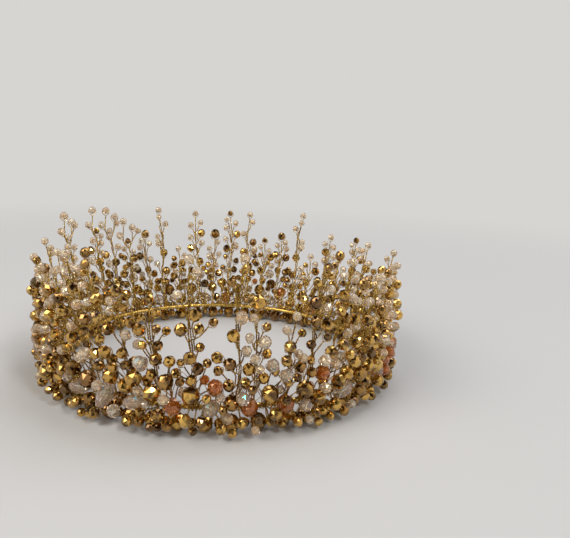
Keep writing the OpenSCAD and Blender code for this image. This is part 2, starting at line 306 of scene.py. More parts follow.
# The small beads of each design, in the same columns
SMALL_BEADS = [
    [
        (69, 1.8, -1.6, 3.9, "champagne"), (59.8, -4.4, 0.6, 4.1, "champagne"),
        (46.5, 3.6, 2, 4.6, "gold"), (49, 6.2, 1, 3.8, "gold"), (38.8, 4, 3, 4, "gold"),
        (30.5, 3.4, 6, 5.2, "gold"), (31.6, -3.6, 3, 3.4, "gold"), (27.1, -5.4, 3, 3.8, "gold"),
        (25.5, 0.9, 6.6, 4.6, "gold"), (24.7, 5.6, 4, 4.2, "copper"),
    ],
    [
        (70.5, 2, -1.4, 3.5, "gold"), (65.3, -2.4, 0.4, 4, "gold"),
        (57.1, 2.8, 0.6, 3.4, "gold"), (34, -6.8, 2, 5.2, "gold"), (29.4, -6.2, 5, 4.2, "gold"),
        (37.5, 3.2, 3.4, 4.6, "champagne"), (25, 3.2, 4.6, 4.8, "gold"),
        (22.8, -3, 4, 5.4, "gold"),
    ],
    [
        (51.1, -2.6, 2.6, 4, "champagne"), (42.9, -3.6, 2.6, 4, "champagne"),
        (47, 3, 1.6, 3.8, "gold"), (35.5, 3.6, 2.4, 4.4, "gold"),
        (34.6, -2.6, 6, 4.4, "champagne"), (26, 2, 6.4, 5, "gold"),
    ],
    [
        (49.4, -2.8, 0.6, 3.6, "gold"), (51.8, 3.4, 0.8, 3.8, "gold"),
        (45.3, 3.2, 2, 3.8, "gold"), (44.4, 6.8, 1.2, 3.8, "gold"),
        (39, -1.4, 5.6, 3.6, "gold"), (37.6, -5, 2.6, 4.2, "champagne"),
        (38.4, 2.6, 1.6, 4.2, "gold"), (30.6, -3.2, 5.4, 6.6, "clear"),
        (25, 1.4, 6.4, 5, "gold"), (44.1, -8, 0.6, 5.2, "gold"),
    ],
    [
        (44.5, -2.6, 0.8, 4, "champagne"), (42.5, 3.6, 0.6, 3.8, "gold"),
        (33, 3.4, 0.8, 4, "champagne"), (33, -3.4, 6.4, 5, "gold"), (27, -7, 3, 4, "gold"),
        (22.6, -2.2, 6, 4.2, "gold"),
    ],
    [
        (63.6, -2.8, 0, 4, "gold"), (66, 3.6, -0.6, 3.4, "gold"),
        (60.6, 2.8, 0.8, 4, "champagne"), (58.7, -7, 0.6, 3.7, "gold"),
        (48, -2.8, 3.4, 5.2, "gold"), (40.5, 3.6, 4.6, 3.8, "gold"), (38, -3.4, 4, 4.4, "gold"),
        (53, 4, 1, 3.8, "champagne"), (25.6, -2, 5.6, 5, "gold"),
    ],
    [
        (53, 3.2, 1, 4, "gold"), (51, -3.6, 1, 4, "champagne"),
        (55.8, -3.8, -0.4, 3.8, "champagne"), (41.5, 3.6, 2.6, 4.6, "champagne"),
        (34, 2.6, 5.2, 4.8, "gold"), (27.4, -1, 7.4, 4.6, "gold"),
    ],
    [
        (66, 2.8, -0.6, 3.8, "champagne"), (64, -3, -0.2, 4, "champagne"),
        (55.4, -3, 1.4, 4.2, "champagne"), (51, 3.6, 3, 4.6, "gold"), (44, 1, 7, 4.4, "gold"),
        (39.5, -3.8, 2.6, 4.4, "champagne"), (31, -2.4, 7.4, 5, "gold"),
        (27.6, 3.4, 6.4, 4.8, "champagne"),
    ],
]
# The sprays at the front, round from left to right. The columns of a spray: degrees from the
# front, design, which way round it is, and how much it is stretched above low_z
ANGLE, DESIGN, HAND, TALLNESS = range(4)
low_z = 28
FRONT_SPRAYS = [
    (-41, 7, 1, 0.97), (-34, 5, -1, 0.95), (-26.5, 6, 1, 0.96), (-17.8, 3, 1, 1),
    (-7.5, 0, 1, 1), (4.5, 1, 1, 1), (9.6, 2, 1, 1), (19.5, 4, 1, 1),
    (26, 5, 1, 1), (34.5, 7, -1, 0.98), (41.5, 6, -1, 1),
]
# Past the front, four stems stand in each sector of the ring, and are lowest at the sides
sectors, sector_w = 12, 30
STEM_PLACES = (-11.2, -3.9, 3.6, 11)
back_tall, side_drop, tall_step = 0.92, 0.27, 0.03
SPRAYS = list(FRONT_SPRAYS)
for sector in range(2, sectors - 1):
    for j, stem_place in enumerate(STEM_PLACES):
        n = len(STEM_PLACES) * sector + j
        hand = -1 if n % 3 == 0 else 1
        shorter = side_drop * math.sin(math.radians(sector_w * sector)) ** 2
        tallness = back_tall - shorter + tall_step * (3 * n % 4)
        SPRAYS.append((sector_w * sector + stem_place, 5 * n % len(DESIGNS), hand, tallness))
# The two bends of a stem. Columns: share of its rise, sideways
BENDS = [(0.3, 1.1), (0.68, -0.5)]
bend_out = 0.2


def unit(v):
    return v / np.linalg.norm(v)


def bead_z(spray, row):
    return low_z + (row[HEIGHT] - low_z) * spray[TALLNESS]


def bead_centre(spray, row):
    return at(spray[ANGLE], spray[HAND] * row[SIDE], row[OUT], bead_z(spray, row))


def stem_points(spray):
    """The four points of a spray's stem, which bends a little one way and then back."""
    top_row = DESIGNS[spray[DESIGN]][0]
    rise = bead_z(spray, top_row) - ring_z
    line = [at(spray[ANGLE], 0, 0, ring_z)]
    for share, side in BENDS:
        line.append(at(spray[ANGLE], side * spray[HAND], bend_out, ring_z + share * rise))
    return [*line, bead_centre(spray, top_row)]


def stem_at(points, z):
    """The place on a stem at a height."""
    k = 0 if z < points[1][2] else 1 if z < points[2][2] else 2
    first, last = points[k], points[k + 1]
    return first + (z - first[2]) / (last[2] - first[2]) * (last - first)


def bead_ways(centre, start, twist):
    """The way up to a bead from its twig, and the way along its hole."""
    rise = unit(centre - start)
    across = unit(np.cross(rise, [centre[0], centre[1], 0]))
    t = math.radians(twist)
    return rise, across * math.cos(t) + np.cross(rise, across) * math.sin(t)


# The pair opens into the loop this far below the bead, under its ends or under an oval's side
fork_gap, end_gap, side_gap = 0.4, 1.0, 0.5


class Bead:
    """A drilled bead, and the route of the twisted pair that holds it."""

    def __init__(self, centre, route, twist, width, length, group):
        self.centre, self.width, self.length, self.group = centre, width, length, group
        self.rise, self.hole = bead_ways(centre, route[-1], twist)
        self.drop = fork_gap + (width / 2 + side_gap if length > width else length / 2 + end_gap)
        self.route = [*route, self.centre - self.drop * self.rise]


# A twig leaves the stem below its bead, and lower for a bead that stands out or aside
twig_drop, twig_slope = 6.5, 0.3
twist_step = 22
beads = []
stems = []
for spray in SPRAYS:
    points = stem_points(spray)
    front = math.cos(math.radians(spray[ANGLE])) > 0
    own = []
    for k, row in enumerate(DESIGNS[spray[DESIGN]]):
        fork_z = bead_z(spray, row) - twig_drop - twig_slope * row[OUT]
        start = points[2] if k == 0 else stem_at(points, fork_z)
        twist = twist_step * ((math.floor(abs(spray[ANGLE]) * 2 + 0.5) + 3 * k) % 5 - 2)
        group = "pale" if row[GLASS] == "champagne" else "gold_front" if front else "gold_back"
        width, length = row[WIDTH], row[WIDTH] * hole_share
        own.append(Bead(bead_centre(spray, row), [start], twist, width, length, group))
    stems.append((spray, points, own))
    beads += own

# The base stones, round from the front, and the collar beads above them, two to a sector
STONES = [
    "clear", "copper", "copper", "gold", "clear oval", "gold",
    "clear", "copper", "gold", "clear oval", "gold", "clear",
    "gold", "clear oval", "copper", "gold", "clear", "gold",
    "copper", "clear oval", "gold", "clear", "gold", "copper",
    "clear oval", "gold", "clear", "gold", "copper", "clear oval",
    "gold", "gold", "clear oval", "clear oval", "clear oval", "copper",
]
stone_pitch, first_stone = 360 // len(STONES), -2
stone_out, stone_z, stone_w = 6.2, 12.6, 8
oval_w, oval_l = 7, 10.4
STONE_TWISTS, OVAL_TWISTS = (-45, -15, 15, 45), (75, 12, 12)
for i, kind in enumerate(STONES):
    oval = kind == "clear oval"
    angle = stone_pitch * i + first_stone
    twist = OVAL_TWISTS[i % 3] if oval else STONE_TWISTS[i % 4]
    width, length = (oval_w, oval_l) if oval else (stone_w, stone_w * hole_share)
    place, start = at(angle, 0, stone_out, stone_z), at(angle, 0, 0, ring_z)
    beads.append(Bead(place, [start], twist, width, length, "stone"))
COLLAR_SPOTS, COLLAR_TWISTS = (-7, 13), (-40, 0, 40)
collar_out, collar_z, collar_w = 7, 18.6, 8
for sector in range(sectors):
    for j, spot in enumerate(COLLAR_SPOTS):
        angle = sector_w * sector + spot
        twist = COLLAR_TWISTS[(sector + j) % 3]
        place, start = at(angle, 0, collar_out, collar_z), at(angle, 0, 0, ring_z)
        width, length = collar_w, collar_w * hole_share
        beads.append(Bead(place, [start], twist, width, length, "collar"))

# The rim beads stand on the flats of their widest row, which has eight corners
rim_count, first_rim = 48, -11.25
rim_pitch = 360 / rim_count
rim_width, rim_out = 8, 3.55
rim_r = ring_r + rim_out
rim_z = rim_width / 2 * math.cos(math.pi / 8)


def rim_place(turn):
    """The centre of a bead on the rim wire, and the way along its hole."""
    a = math.radians(turn)
    centre = np.array([rim_r * math.sin(a), -rim_r * math.cos(a), rim_z])
    return centre, np.array([math.cos(a), math.sin(a), 0.0])


rim = [rim_place(rim_pitch * k + first_rim) for k in range(rim_count)]


# The small beads are fitted in between: each is moved a little until it and its wire are
# clear of everything round it. Spheres: centre and radius. Wires: two ends and radius.
pair_r, stem_room = 0.37, 1.05
along_oval = (-2, 0, 2)
spheres = []
for bead in beads:
    for t in along_oval if bead.length > bead.width else (0,):
        spheres.append([*(bead.centre + t * bead.hole), bead.width / 2])
spheres += [[*centre, rim_width / 2] for centre, _ in rim]
wires = [[*b.route[0], *b.route[1], pair_r] for b in beads]
wires += [[*points[k], *points[k + 1], stem_room] for _, points, _ in stems for k in range(3)]
spheres, wires = np.array(spheres), np.array(wires)
# What is added stays inside the box of the CAD solids
edge_r, roof_z, floor_z = cad_high.x / MM - 0.15, cad_high.z / MM - 0.1, 0.3
# Beads may all but touch. Their facets, and the lay of the strands, leave room inside these
# spheres and wires, so a bead may sink into a wire and a wire into a bead by this much
bead_gap, bead_sinks, wire_sinks = 0.04, 0.08, 0.14


def gaps(points, firsts, lasts):
    """The distances from points to segments, either of which may be one for all."""
    run = lasts - firsts
    t = np.clip(((points - firsts) * run).sum(-1) / np.maximum((run * run).sum(-1), 1e-9), 0, 1)
    return np.linalg.norm(firsts + t[..., None] * run - points, axis=-1)


def clear_of_all(bead):
    """Whether a bead and its wire keep clear of what is already there."""
    c, r = bead.centre, bead.width / 2
    if math.hypot(c[0], c[1]) + r > edge_r or c[2] + r > roof_z or c[2] - r < floor_z:
        return False
    if (np.linalg.norm(spheres[:, :3] - c, axis=1) < spheres[:, 3] + r + bead_gap).any():
        return False
    if (gaps(c, wires[:, :3], wires[:, 3:6]) < wires[:, 6] + r - bead_sinks).any():
        return False
    room = spheres[:, 3] + pair_r - wire_sinks
    legs = zip(bead.route, bead.route[1:])
    return not any((gaps(spheres[:, :3], a, b) < room).any() for a, b in legs)


def settle(bead):
    """Keep a bead and take up its room."""
    global spheres, wires
    beads.append(bead)
    spheres = np.vstack([spheres, [*bead.centre, bead.width / 2]])
    for a, b in zip(bead.route, bead.route[1:]):
        wires = np.vstack([wires, [*a, *b, pair_r]])


dice = random.Random(5)
# The moves to try, the smallest first: sideways, outwards and upwards
NUDGES = [
    (side, out, higher)
    for side in (0, 1, -1, 2, -2, 3, -3, 4.5, -4.5)
    for out in (0, 1.2, -1.2, 2.4)
    for higher in (0, 1.6, -1.6, 3)
]
NUDGES.sort(key=lambda n: abs(n[0]) + abs(n[1]) + abs(n[2]))
# Past the front, the small beads near the tips are champagne
front_edge, pale_from = 38, 46
most_twist = 50
# How far below its bead a small twig leaves the stem, and how near to the stem's two ends
small_drop, root_rise, below_top = 5.5, 0.5, 5
for spray, points, own in stems:
    for row in SMALL_BEADS[spray[DESIGN]]:
        pale = abs(spray[ANGLE]) > front_edge and row[HEIGHT] > pale_from
        glass = "champagne" if pale else row[GLASS]
        width, length = row[WIDTH], row[WIDTH] * hole_share
        twist = dice.uniform(-most_twist, most_twist)
        for side, out, higher in NUDGES:
            tried = (row[HEIGHT] + higher, row[SIDE] + side, row[OUT] + out)
            z = bead_z(spray, tried)
            root_z = z - small_drop - twig_slope * max(tried[OUT], 0)
            root_z = max(root_z - twig_slope * abs(tried[SIDE]), ring_z + root_rise)
            root_z = min(root_z, points[3][2] - below_top)
            centre = at(spray[ANGLE], spray[HAND] * tried[SIDE], tried[OUT], z)
            route = [stem_at(points, root_z)]
            bead = Bead(centre, route, twist, width, length, "small_" + glass)
            if clear_of_all(bead):
                settle(bead)
                own.append(bead)
                break

# Behind the left side the sprays end higher, in champagne beads on wires of their own that
# pass beside the top bead. Columns: height above the top bead, sideways from it, width
LEFT_TIPS = [(4, 5.4, 4.6), (8.5, -4.2, 4.6), (6, -8, 4), (12.5, 2.6, 4.6)]
left_from, left_to = 200, 262
beside = 3.1
for spray, points, own in stems:
    if not left_from < spray[ANGLE] < left_to:
        continue
    top_z, middle = points[3][2], spray[HAND] * DESIGNS[spray[DESIGN]][0][SIDE]
    for height, side, width in LEFT_TIPS:
        length = width * hole_share
        twist = dice.uniform(-most_twist, most_twist)
        passing = at(spray[ANGLE], middle + math.copysign(beside, side), 0, top_z)
        route = [stem_at(points, top_z - below_top), passing]
        for more, out, higher in NUDGES:
            centre = at(spray[ANGLE], middle + side + more, out, top_z + height + higher)
            bead = Bead(centre, route, twist, width, length, "small_champagne")
            if clear_of_all(bead):
                settle(bead)
                break

# The base is packed with more, each on a bent wire of its own from the ring or off a stem.
# Columns: tries, width, lowest and highest centre, least and most outwards, glasses
BASE_FILL = [
    (4000, 7.2, 12, 30, 2, 10, ["gold", "gold", "copper"]),
    (8000, 6.0, 8, 33, 1.5, 11, ["gold", "gold", "clear", "gold", "champagne", "copper"]),
    (8000, 5.0, 5, 34, 1.5, 12, ["gold", "gold", "gold", "champagne"]),
    (9000, 4.0, 3, 34, 1.5, 13, ["gold", "gold", "gold", "clear", "champagne"]),
]
low_rows, copper_gap = 11, (295, 345)
base_twist = 60
# Degrees aside that a root may be, and the heights above the ring wire from which a wire has
# an elbow or may leave a stem. The elbow's place is in shares of the way to the bead
ROOT_SHIFTS = (0, 3, -3, 6, -6)
elbow_from, stems_from = 6, 10
elbow_turn, elbow_out, elbow_rise = 0.7, 0.25, 0.5
base_drop, base_slope = 4, 0.4


def base_routes(angle, out, z):
    """Ways in for the wire of a base bead: from the ring, with an elbow for a higher bead,
    and for the highest off the two nearest stems too."""
    found = []
    for shift in ROOT_SHIFTS:
        start = at(angle + shift, 0, 0, ring_z)
        elbow_z = ring_z + elbow_rise * (z - ring_z)
        elbow = at(angle + elbow_turn * shift, 0, elbow_out * out, elbow_z)
        found.append([start, elbow] if z > ring_z + elbow_from else [start])
    if z > ring_z + stems_from:
        near = sorted(stems, key=lambda stem: -math.cos(math.radians(stem[0][ANGLE] - angle)))[:2]
        found += [[stem_at(points, z - base_drop - base_slope * out)] for _, points, _ in near]
    return found


for tries, width, low, high, inner, outer, glasses in BASE_FILL:
    length = width * hole_share
    for n in range(tries):
        angle, z, out = dice.uniform(0, 360), dice.uniform(low, high), dice.uniform(inner, outer)
        glass, twist = dice.choice(glasses), dice.uniform(-base_twist, base_twist)
        # Most of the lowest beads are gold, and so are the copper ones left of the front
        if z < low_rows and n % 3 or glass == "copper" and copper_gap[0] < angle < copper_gap[1]:
            glass = "gold"
        for route in base_routes(angle, out, z):
            bead = Bead(at(angle, 0, out, z), route, twist, width, length, "small_" + glass)
            if clear_of_all(bead):
                settle(bead)
                break


# One side of the loop round a bead, up from the pair to the hole. Columns: share of half its
# length, millimetres added, share of half its width, millimetres added
LOOP = [
    (0.34, 0.25, -1, -0.42), (0.75, 0.3, -0.8, -0.22),
    (1, 0.36, -0.45, 0), (1, 0.42, -0.16, 0), (1, 0.25, -0.02, 0), (1, 0, 0, 0),
]
OVAL_LOOP = [(0.4, 0, -1, -0.4), (0.8, 0, -0.85, -0.1), *LOOP[2:]]


def loop_points(bead):
    """The single wire round a bead: up one side, through the hole, and down the other."""
    half, r = bead.length / 2, bead.width / 2
    path = [(0.0, -bead.drop)]
    for along, more, down, lower in OVAL_LOOP if bead.length > bead.width else LOOP:
        path.append((along * half + more, down * r + lower))
    whole = [(-x, y) for x, y in path] + [(x, y) for x, y in reversed(path)]
    return [bead.centre + x * bead.hole + y * bead.rise for x, y in whole]


def curved(points, step):
    """A smooth line through points, with a point about every step."""
    padded = [2 * points[0] - points[1], *points, 2 * points[-1] - points[-2]]
    line = []
    for k in range(1, len(padded) - 2):
        a, b, c, d = padded[k - 1 : k + 3]
        parts = max(1, round(float(np.linalg.norm(c - b)) / step))
        squared, cubed = 2 * a - 5 * b + 4 * c - d, 3 * b - a - 3 * c + d
        for n in range(parts):
            t = n / parts
            line.append(0.5 * (2 * b + (c - a) * t + squared * t**2 + cubed * t**3))
    return line + [points[-1]]


# A pair sags a little on its way in, meets the stem just below its root, and winds slowly
# down round it, by this many radians a millimetre, with a point every few millimetres
sag, sag_at = 0.9, 0.55
meet = 0.4
beside_stem, wind, wind_step = 0.9, 0.16, 3.0


def pair_down_stem(bead, points, low, turn):
    """A pair that comes in from its bead and runs down beside the stem to a height."""
    start, fork = bead.route
    way = unit(points[3] - points[0])
    side = unit(np.cross(way, [start[0], start[1], 0]))
    face = np.cross(way, side)
    line = [fork, fork + sag_at * (start - fork) + np.array([0, 0, -sag])]
    z = start[2] - meet
    while z > low:
        angle = turn + wind * (start[2] - z)
        out = beside_stem * (math.cos(angle) * side + math.sin(angle) * face)
        line.append(stem_at(points, z) + out)
        z -= wind_step
    return line


# How far a strand runs from its pair's middle line, and its radius. The single loops are
# drawn a little finer, to fit between the beads, and a stem's pair a little thicker
pair_gap, strand_r = 0.18, 0.2
stem_gap, stem_strand_r = 0.2, 0.21
loop_r = 0.18
twist_pitch, points_a_turn = 2.4, 5


def polyline_mesh(name, lines):
    """Lines as a mesh of edges, with each line's strand spacing and wire radius."""
    points, edges, gaps, radii = [], [], [], []
    for line, gap, radius in lines:
        start = len(points)
        points += [tuple(p * MM) for p in line]
        edges += [(start + k, start + k + 1) for k in range(len(line) - 1)]
        gaps += [gap * MM] * len(line)
        radii += [radius * MM] * len(line)
    mesh = bpy.data.meshes.new(name)
    mesh.from_pydata(points, edges, [])
    for label, values in (("strand_gap", gaps), ("wire_radius", radii)):
        mesh.attributes.new(label, "FLOAT", "POINT").data.foreach_set("value", values)
    return mesh


def geometry_tree(name, sizes):
    """A Geometry Nodes tree with named inputs; gives the tree, its ends and input ids."""
    tree = bpy.data.node_groups.new(name, "GeometryNodeTree")
    tree.interface.new_socket("Geometry", in_out="INPUT", socket_type="NodeSocketGeometry")
    tree.interface.new_socket("Geometry", in_out="OUTPUT", socket_type="NodeSocketGeometry")
    ids = {}
    for label, kind in sizes.items():
        ids[label] = tree.interface.new_socket(label, in_out="INPUT", socket_type=kind).identifier
    return tree, add(tree, "NodeGroupInput"), add(tree, "NodeGroupOutput"), ids


def grown(made, tree, values):
    """Run a tree on an object and keep what it gives as the object's plain mesh."""
    step = made.modifiers.new("grow", "NODES")
    step.node_group = tree
    for identifier, value in values.items():
        step[identifier] = value
    made.update_tag()
    bpy.context.view_layer.update()
    graph = bpy.context.evaluated_depsgraph_get()
    mesh = bpy.data.meshes.new_from_object(made.evaluated_get(graph), depsgraph=graph)
    made.modifiers.remove(step)
    made.data = mesh


# A line with a strand spacing becomes two strands that run round each other, and a line with
# none becomes a single wire
wire_tree, into, out_of, wire_ids = geometry_tree(
    "twisted_wire",
    {"Pitch": "NodeSocketFloat", "Step": "NodeSocketFloat", "Metal": "NodeSocketMaterial"},
)
gap_field = add(
    wire_tree, "GeometryNodeInputNamedAttribute", {"Name": "strand_gap"}, data_type="FLOAT"
).outputs["Attribute"]
radius_field = add(
    wire_tree, "GeometryNodeInputNamedAttribute", {"Name": "wire_radius"}, data_type="FLOAT"
).outputs["Attribute"]
is_pair = add(
    wire_tree,
    "FunctionNodeCompare",
    {"A": gap_field, "B": 1e-6},
    data_type="FLOAT",
    operation="GREATER_THAN",
)
split = add(
    wire_tree,
    "GeometryNodeSeparateGeometry",
    {"Geometry": into.outputs["Geometry"], "Selection": is_pair.outputs[0]},
)
pair_line = add(wire_tree, "GeometryNodeMeshToCurve", {0: split.outputs["Selection"]})
fine_line = add(
    wire_tree,
    "GeometryNodeResampleCurve",
    {"Curve": pair_line.outputs[0], "Length": into.outputs["Step"]},
    mode="LENGTH",
)
along = add(wire_tree, "GeometryNodeSplineParameter").outputs["Length"]
turns = add(wire_tree, "ShaderNodeMath", {0: along, 1: into.outputs["Pitch"]}, operation="DIVIDE")
swing = add(
    wire_tree, "ShaderNodeMath", {0: turns.outputs[0], 1: 2 * math.pi}, operation="MULTIPLY"
)
normal = add(wire_tree, "GeometryNodeInputNormal").outputs["Normal"]
tangent = add(wire_tree, "GeometryNodeInputTangent").outputs["Tangent"]
sideways = add(
    wire_tree, "ShaderNodeVectorMath", {0: tangent, 1: normal}, operation="CROSS_PRODUCT"
)
joined = add(wire_tree, "GeometryNodeJoinGeometry")
for phase in (0.0, math.pi):
    angle = add(wire_tree, "ShaderNodeMath", {0: swing.outputs[0], 1: phase}, operation="ADD")
    ways = add(wire_tree, "ShaderNodeVectorMath", operation="ADD")
    for k, (kind, way) in enumerate((("COSINE", normal), ("SINE", sideways.outputs[0]))):
        share = add(wire_tree, "ShaderNodeMath", {0: angle.outputs[0]}, operation=kind)
        part = add(
            wire_tree,
            "ShaderNodeVectorMath",
            {0: way, "Scale": share.outputs[0]},
            operation="SCALE",
        )
        wire_tree.links.new(part.outputs[0], ways.inputs[k])
    shift = add(
        wire_tree,
        "ShaderNodeVectorMath",
        {0: ways.outputs[0], "Scale": gap_field},
        operation="SCALE",
    )
    strand = add(
        wire_tree,
        "GeometryNodeSetPosition",
        {"Geometry": fine_line.outputs[0], "Offset": shift.outputs[0]},
    )
    marked = add(
        wire_tree,
        "GeometryNodeStoreNamedAttribute",
        {"Geometry": strand.outputs[0], "Name": "strand", "Value": phase / math.pi},
        data_type="FLOAT",
        domain="POINT",
    )
    wire_tree.links.new(marked.outputs[0], joined.inputs[0])
lone_line = add(wire_tree, "GeometryNodeMeshToCurve", {0: split.outputs["Inverted"]})
wire_tree.links.new(lone_line.outputs[0], joined.inputs[0])
section = add(wire_tree, "GeometryNodeCurvePrimitiveCircle", {"Resolution": 4, "Radius": 1.0})
skin = add(
    wire_tree,
    "GeometryNodeCurveToMesh",
    {
        "Curve": joined.outputs[0],
        "Profile Curve": section.outputs[0],
        "Scale": radius_field,
        "Fill Caps": True,
    },
)
smooth = add(wire_tree, "GeometryNodeSetShadeSmooth", {0: skin.outputs[0]})
plain = add(wire_tree, "GeometryNodeRealizeInstances", {0: smooth.outputs[0]})
coated = add(
    wire_tree,
    "GeometryNodeSetMaterial",
    {"Geometry": plain.outputs[0], "Material": into.outputs["Metal"]},
)
wire_tree.links.new(coated.outputs[0], out_of.inputs[0])


def wire_piece(name, lines):
    """A piece of wirework that follows these lines."""
    made = link_object(name, polyline_mesh(name, lines))
    values = {
        wire_ids["Pitch"]: twist_pitch * MM,
        wire_ids["Step"]: twist_pitch / points_a_turn * MM,
        wire_ids["Metal"]: brass,
    }
    grown(made, wire_tree, values)
    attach(made, "root")
    return made


def sector_of(angle):
    return round(angle / sector_w) % sectors


def angle_of(point):
    return math.degrees(math.atan2(point[0], -point[1]))


# Each sector's wires are one piece, and take the place of the CAD rods of that sector. The
# pair from a spray's highest twig goes all the way down, and the others end on the stem
stem_step, pair_step = 2.0, 1.5
root_drop, root_out = 1.2, 0.2
pair_tail, next_side = 5.5, 3.1
lines = {sector: [] for sector in range(sectors)}
on_stems = set()
for spray, points, own in stems:
    here = lines[sector_of(spray[ANGLE])]
    below = at(spray[ANGLE], 0, root_out, ring_z - root_drop)
    stem = curved([below, *points[:3], own[0].route[-1]], stem_step)
    here.append((stem, stem_gap, stem_strand_r))
    for k, bead in enumerate(sorted(own[1:], key=lambda b: -b.centre[2])):
        low = ring_z if k < 1 else bead.route[0][2] - pair_tail
        pair = curved(pair_down_stem(bead, points, low, next_side * k), pair_step)
        here.append((pair, pair_gap, strand_r))
    on_stems.update(id(bead) for bead in own)
for bead in beads:
    here = lines[sector_of(angle_of(bead.route[0]))]
    if id(bead) not in on_stems:
        here.append((curved(bead.route, pair_step), pair_gap, strand_r))
    here.append((loop_points(bead), 0, loop_r))
# Three pairs lie along the ring wire in a bundle. Columns: upwards and outwards of its middle
BUNDLE = [(0.26, -0.2), (-0.26, -0.2), (0, 0.3)]
bundle_half, bundle_points = 14.2, 30
for sector, here in lines.items():
    turns = np.linspace(-bundle_half, bundle_half, bundle_points)
    middle = [at(sector_w * sector + turn, 0, 0, ring_z) for turn in turns]
    for height, out in BUNDLE:
        raised = np.array([0, 0, height])
        pair = [p + raised + out * unit(np.array([p[0], p[1], 0])) for p in middle]
        here.append((pair, pair_gap, strand_r))
    piece = wire_piece(f"spray_wire_{sector + 1:02d}", here)
    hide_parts(f"spray_{sector + 1:02d}")


# ---- Binding: fine brass wire wound round the ring wire and the bundles on it, which holds
# the sprays upright.
turns_round, turn_points = 330, 10
# The coil's middle outside that of the ring wire, half its width and half its height
coil_out, coil_half_w, coil_half_h = 0.78, 2.05, 1.32
binding_r = 0.15
coil = []
for k in range(turns_round * turn_points + 1):
    a = 2 * math.pi * k / (turns_round * turn_points)
    t = 2 * math.pi * k / turn_points
    r = ring_r + coil_out + coil_half_w * math.cos(t)
    coil.append(np.array([r * math.sin(a), -r * math.cos(a), ring_z + coil_half_h * math.sin(t)]))
wire_piece("ring_binding", [(coil, 0, binding_r)])


# ---- Lacing: single fine wires looped between the roots of the sprays, which fill the base
# and keep its beads from swinging.
laces_a_sector, lace_tries = 12, 120
lace_r, lace_room, lace_step = 0.16, 0.18, 1.6
# Least and most: where a lace starts in its sector, how many degrees it spans, how high its
# crest is, and how far that stands out
FIRST, SPAN, CREST, CREST_OUT = (-14, 10), (4, 10), (15, 27), (0.8, 3.4)
foot_out, leg_in, leg_out = 0.3, 0.5, 0.6
laces = []
for sector in range(sectors):
    placed = 0
    for n in range(lace_tries):
        first = sector_w * sector + dice.uniform(*FIRST)
        last = first + dice.uniform(*SPAN)
        crest = dice.uniform(*CREST)
        out = dice.uniform(*CREST_OUT)
        leg_z = 0.5 * (ring_z + crest)
        arch = [
            at(first, 0, foot_out, ring_z),
            at(first + leg_in, 0, leg_out * out, leg_z),
            at((first + last) / 2, 0, out, crest),
            at(last - leg_in, 0, leg_out * out, leg_z),
            at(last, 0, foot_out, ring_z),
        ]
        arch = curved(arch, lace_step)
        room = spheres[:, 3] + lace_room
        clear = all((gaps(spheres[:, :3], a, b) > room).all() for a, b in zip(arch, arch[1:]))
        if clear and placed < laces_a_sector:
            laces.append((arch, 0, lace_r))
            placed += 1
wire_piece("lacing", laces)


# ---- Beads: drilled glass beads, their facets cut or fire-polished. One cut serves all: a
# table at each end of the hole and four rows of facets, turned half a facet from row to row.
def cut_bead(name, hole, material, sides=8):
    """A bead one unit wide and one unit long, with its hole along Z."""
    # Columns: radius, place along the hole, turn in facets
    rings = [
        (hole / 2, 0.5, 0), (0.25, 0.5, 0), (0.43, 0.28, 0.5), (0.5, 0, 0),
        (0.43, -0.28, 0.5), (0.25, -0.5, 0), (hole / 2, -0.5, 0),
    ]
    points = []
    for r, z, turn in rings:
        for i in range(sides):
            a = 2 * math.pi * (i + turn) / sides
            points.append((r * math.cos(a), r * math.sin(a), z))
    faces = []
    for k, ring in enumerate(rings):
        following = (k + 1) % len(rings)
        turn = rings[following][2] - ring[2]
        for i in range(sides):
            j = (i + 1) % sides
            a, b = k * sides, following * sides
            if turn == 0:
                faces.append((a + i, b + i, b + j, a + j))
            elif turn > 0:
                faces += [(a + i, b + i, a + j), (b + i, b + j, a + j)]
            else:
                faces += [(a + i, b + i, b + j), (a + i, b + j, a + j)]
    mesh = bpy.data.meshes.new(name)
    mesh.from_pydata(points, [], faces)
    mesh.materials.append(material)
    made = link_object(name, mesh)
    made.hide_render = True
    return made


# Gold-coated glass: a thin mirror coat of gold to bronze under a clear glaze, so that each
# facet is a small dark or bright mirror and no two beads have quite the same tone. Brown
# clouds a few millimetres wide are where the coat is thin.
gold_cloud = 3.85
gold_glass, tree = new_material("gold_mirror_coated_glass")
bead_tone = add(tree, "ShaderNodeNewGeometry").outputs["Random Per Island"]
ramp = add(tree, "ShaderNodeValToRGB", {"Fac": bead_tone})
ramp.color_ramp.elements[0].color = linear("#90693A")
ramp.color_ramp.elements[1].color = linear("#6A563A")
for position, hue in ((0.2, "#BC9248"), (0.45, "#D2A650"), (0.7, "#E4BA62"), (0.88, "#A27A38")):
    ramp.color_ramp.elements.new(position).color = linear(hue)
place = add(tree, "ShaderNodeTexCoord")
cloud = add(
    tree,
    "ShaderNodeTexNoise",
    {"Vector": place.outputs["Object"], "Scale": 1 / (gold_cloud * MM), "Detail": 2.0},
)
thin = add(
    tree, "ShaderNodeMapRange", {"Value": cloud.outputs["Fac"], "From Min": 0.48, "From Max": 0.64}
)
tone = add(tree, "ShaderNodeMix", {0: thin.outputs["Result"]}, data_type="RGBA")
tree.links.new(ramp.outputs["Color"], tone.inputs[6])
tone.inputs[7].default_value = linear("#5E4220")
coat = add(
    tree,
    "ShaderNodeBsdfPrincipled",
    {
        "Base Color": tone.outputs[2],
        "Metallic": 0.95,
        "Roughness": 0.06,
        "Coat Weight": 0.6,
        "Coat Roughness": 0.03,
    },
)
add(tree, "ShaderNodeOutputMaterial", {"Surface": coat.outputs[0]})

